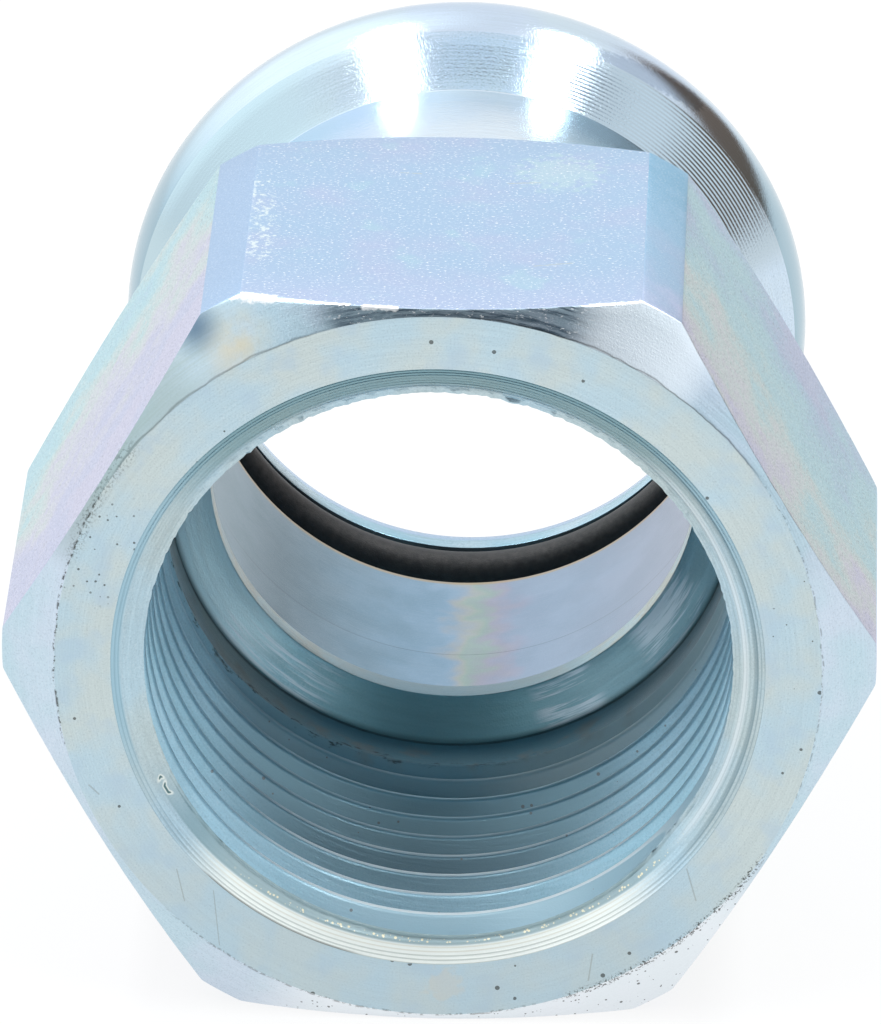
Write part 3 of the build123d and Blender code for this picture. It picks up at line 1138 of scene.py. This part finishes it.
def body_finishes(colours):
    """Every material of the body, in the order of its slots."""
    made = {
        "thread": thread_finish(colours),
        "plain_bore": plain_bore_finish(),
        "shoulder": shoulder_finish(colours),
        "stop_land": stop_land_finish(),
        "socket": socket_finish(colours),
        "seat": Turned("seat", (colours.teal, colours.steel)).done(),
        "lip": lip_finish(colours),
        "bead": bead_finish(),
        "cone": cone_finish(),
        "neck": neck_finish(),
        "back_face": Turned("back_face", (colours.pale, colours.cream)).done(),
        "crown": crown_finish(colours),
        "top_flat": top_flat_finish(colours),
        "side_flat": side_flat_finish(colours),
        "corner": corner_finish(colours),
        "face": face_finish(colours),
        "countersink": countersink_finish(colours),
    }
    return [made[name] for name in FINISHES]


def rubber_finish(colours):
    """Black moulded rubber with a soft grain, and a band that is partly dust and partly painted sheen."""
    recipe = Recipe("seal_rubber_finish")
    # Dust and painted sheen, in a band round the front of the ring.
    dust_and_sheen = recipe.patches(2.2, 0.30, 0.70, 0.15, 0.7, detail=5.0, roughness=0.7)
    recipe.base = colours.rubber
    recipe.over(linear(84, 80, 78), dust_and_sheen, recipe.band(recipe.along, 44.2, 45.4, 0.7))
    grain = recipe.noise(recipe.point, 14.0, detail=3.0)
    return recipe.finish(Metallic=0.0, Roughness=0.5, Normal=recipe.bump(grain, 0.03, 0.6))


# Operators

class ADAPTER_OT_body(bpy.types.Operator):
    """Builds the turned body with its thread in place of the plain solid"""

    bl_idname = "adapter.body"
    bl_label = "Turned Body"

    def execute(self, context):
        hexagon = context.scene.adapter_hexagon
        thread = context.scene.adapter_thread
        edge_angle = math.degrees(math.acos(hexagon.across_flats / hexagon.across_corners))
        angles = around(edge_angle)
        along, radius, finishes = turned_rows(angles, hexagon, thread, context.scene.adapter_press)
        outer = around_axis(along, radius, angles)
        outer_bands = hexagon_bands(angles, finishes, edge_angle)
        outer_quads = grid_quads(*along.shape, 0)
        along, radius, finishes = thread_rows(angles, thread)
        inner = around_axis(along, radius, angles)
        inner_bands = np.repeat(finishes[:, None], len(angles) - 1, axis=1)
        inner_quads = grid_quads(*along.shape, outer.shape[0] * outer.shape[1])[:, ::-1]
        points = np.concatenate([outer.reshape(-1, 3), inner.reshape(-1, 3)])
        quads = np.concatenate([outer_quads, inner_quads])
        bands = np.concatenate([outer_bands.ravel(), inner_bands.ravel()])
        mesh = mesh_from("turned_body", points, quads, bands)
        finishes = body_finishes(context.scene.adapter_colours)
        add_piece("turned_body", mesh, "fitting_body", finishes)
        return {"FINISHED"}


class ADAPTER_OT_seal(bpy.types.Operator):
    """Gives the seal ring's own solid its rubber finish"""

    bl_idname = "adapter.seal"
    bl_label = "Seal Ring"

    def execute(self, context):
        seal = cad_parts["seal_ring"]
        seal.data.materials.clear()
        seal.data.materials.append(rubber_finish(context.scene.adapter_colours))
        return {"FINISHED"}


class ADAPTER_OT_studio(bpy.types.Operator):
    """Sets up the white floor, the light tent, the soft boxes and the camera"""

    bl_idname = "adapter.studio"
    bl_label = "White Studio"

    def execute(self, context):
        studio = context.scene.adapter_studio
        add_floor(studio)
        add_tent(context.scene, studio)
        add_soft_boxes(studio)
        add_camera(context.scene, studio)
        context.scene.view_settings.view_transform = "Standard"
        return {"FINISHED"}


def add_floor(studio):
    """White floor: mostly its own white where it is seen, and the rest catches the part's shadow.

    Only rays that the camera, a gloss or a clear thing sends see its own white.
    """
    half = studio.floor / 2
    corners = [(-half, -half, 0), (half, -half, 0), (half, half, 0), (-half, half, 0)]
    mesh = bpy.data.meshes.new("floor")
    mesh.from_pydata(corners, [], [(0, 1, 2, 3)])
    floor = bpy.data.objects.new("floor", mesh)
    bpy.context.scene.collection.objects.link(floor)
    material = bpy.data.materials.new("floor_white")
    material.use_nodes = True
    material.node_tree.nodes.clear()
    nodes = Nodes(material.node_tree)
    path = nodes.node("ShaderNodeLightPath").outputs
    seen = nodes.any_of(path["Is Camera Ray"], path["Is Glossy Ray"], path["Is Transmission Ray"])
    matt = nodes.node("ShaderNodeBsdfDiffuse", [("Color", (0.95, 0.95, 0.95))]).outputs[0]
    own = nodes.node("ShaderNodeEmission", [("Strength", 1.0)]).outputs[0]
    inputs = [(0, nodes.product(seen, studio.floor_white)), (1, matt), (2, own)]
    blend = nodes.node("ShaderNodeMixShader", inputs).outputs[0]
    nodes.node("ShaderNodeOutputMaterial", [("Surface", blend)])
    mesh.materials.append(material)


class Room(Nodes):
    """World of the light tent: its directions, and colours laid over one another in parts of it."""

    def __init__(self, world):
        world.use_nodes = True
        world.node_tree.nodes.clear()
        super().__init__(world.node_tree)
        self.direction = self.node("ShaderNodeTexCoord").outputs["Generated"]
        self.elevation = self.node("ShaderNodeSeparateXYZ", [(0, self.direction)]).outputs[2]
        self.shown = (0.93, 0.96, 1.0)

    def lay(self, shade, direction, inner, outer, *shares):
        """Lays a shade within an angle of a direction, gone beyond a greater one, by further shares."""
        dot = self.vector_math("DOT_PRODUCT", self.direction, Vector(direction).normalized())
        share = self.product(self.within(dot, inner, outer), *shares)
        self.shown = self.mix(share, self.shown, shade)

    def close(self, fill):
        """Shows the room to everything but the camera, which sees plain white."""
        white = self.node("ShaderNodeBackground", [("Color", WHITE)]).outputs[0]
        room = self.node("ShaderNodeBackground", [("Color", self.shown), ("Strength", fill)]).outputs[0]
        seen = self.node("ShaderNodeLightPath").outputs["Is Camera Ray"]
        blend = self.node("ShaderNodeMixShader", [(0, seen), (1, room), (2, white)]).outputs[0]
        self.node("ShaderNodeOutputWorld", [("Surface", blend)])


def add_tent(scene, studio):
    """Light tent: a pale room, dull on the camera's side with a dark gap above the camera.

    Bright patches lie behind to the left and in front to the left and right, a blue one overhead, and
    a dark brown wall stands on the right.
    """
    scene.world = bpy.data.worlds.new("light_tent")
    room = Room(scene.world)
    for shade, direction, inner, outer in (
        ((0.40, 0.45, 0.49), (0.0, -1.0, 0.4), 24.0, 58.0),
        ((1.25, 1.32, 1.36), (-0.70, 0.40, 0.60), 22.0, 50.0),
        ((0.84, 0.94, 1.02), (0.08, -0.35, 0.92), 8.0, 20.0),
        ((1.25, 1.32, 1.38), (-0.64, -0.66, 0.38), 12.0, 26.0),
        ((1.02, 1.10, 1.16), (0.62, -0.64, 0.42), 12.0, 24.0),
        ((0.05, 0.06, 0.07), (0.04, -0.77, 0.63), 20.0, 28.0),
    ):
        room.lay(shade, direction, inner, outer)
    foot = room.between(room.elevation, 0.03, 0.07)
    top = room.between(room.elevation, 0.60, 0.44)
    room.lay((0.20, 0.15, 0.12), (0.88, 0.42, 0.22), 30.0, 40.0, foot, top)
    room.close(studio.fill)


def add_soft_boxes(studio):
    """Two long level soft boxes overhead, to the left and right of the part."""
    for name, place, width, depth in (
        ("soft_box_left", (-0.34, 0.0, 0.90), 0.08, 1.12),
        ("soft_box_right", (0.375, 0.0, 0.90), 0.11, 1.12),
    ):
        light = bpy.data.lights.new(name, "AREA")
        light.shape = "RECTANGLE"
        light.size = width
        light.size_y = depth
        light.energy = studio.boxes * 4 * math.pi * width * depth
        lamp = bpy.data.objects.new(name, light)
        lamp.location = place
        bpy.context.scene.collection.objects.link(lamp)


def add_camera(scene, studio):
    """Camera at its place: turned to its bearing, tilted to its pitch and rolled about its sight line."""
    data = bpy.data.cameras.new("camera")
    data.sensor_width = SENSOR
    data.lens = studio.focal_pixels / IMAGE_HEIGHT * SENSOR
    data.clip_end = 50.0
    camera = bpy.data.objects.new("camera", data)
    turn = Matrix.Rotation(-studio.bearing, 4, "Z")
    tilt = Matrix.Rotation(math.pi / 2 - studio.pitch, 4, "X")
    roll = Matrix.Rotation(studio.roll, 4, "Z")
    camera.matrix_world = Matrix.Translation(studio.place) @ turn @ tilt @ roll
    scene.collection.objects.link(camera)
    scene.camera = camera


class ADAPTER_PT_sidebar(bpy.types.Panel):
    """Steps that build the adapter, with their sizes and colours"""

    bl_idname = "ADAPTER_PT_sidebar"
    bl_label = "Press Adapter"
    bl_space_type = "VIEW_3D"
    bl_region_type = "UI"
    bl_category = "Press Adapter"

    def draw(self, context):
        for operator, groups in STEPS:
            self.layout.operator(operator)
            for group in groups:
                settings = getattr(context.scene, group)
                for name in settings.bl_rna.properties.keys():
                    if name not in ("rna_type", "name"):
                        self.layout.prop(settings, name)


STEPS = (
    ("adapter.body", ("adapter_hexagon", "adapter_thread", "adapter_press", "adapter_colours")),
    ("adapter.seal", ()),
    ("adapter.studio", ("adapter_studio",)),
)

GROUPS = {
    "adapter_hexagon": HexagonSizes,
    "adapter_thread": ThreadSizes,
    "adapter_press": PressSizes,
    "adapter_colours": PlatingColours,
    "adapter_studio": StudioSettings,
}

CLASSES = (ADAPTER_OT_body, ADAPTER_OT_seal, ADAPTER_OT_studio, ADAPTER_PT_sidebar)


def register():
    for name, group in GROUPS.items():
        bpy.utils.register_class(group)
        setattr(bpy.types.Scene, name, bpy.props.PointerProperty(type=group))
    for kind in CLASSES:
        bpy.utils.register_class(kind)


def unregister():
    for kind in reversed(CLASSES):
        bpy.utils.unregister_class(kind)
    for name, group in reversed(GROUPS.items()):
        delattr(bpy.types.Scene, name)
        bpy.utils.unregister_class(group)


def main():
    register()
    bpy.ops.adapter.body()
    bpy.ops.adapter.seal()
    bpy.ops.adapter.studio()


if __name__ == "__main__":
    main()
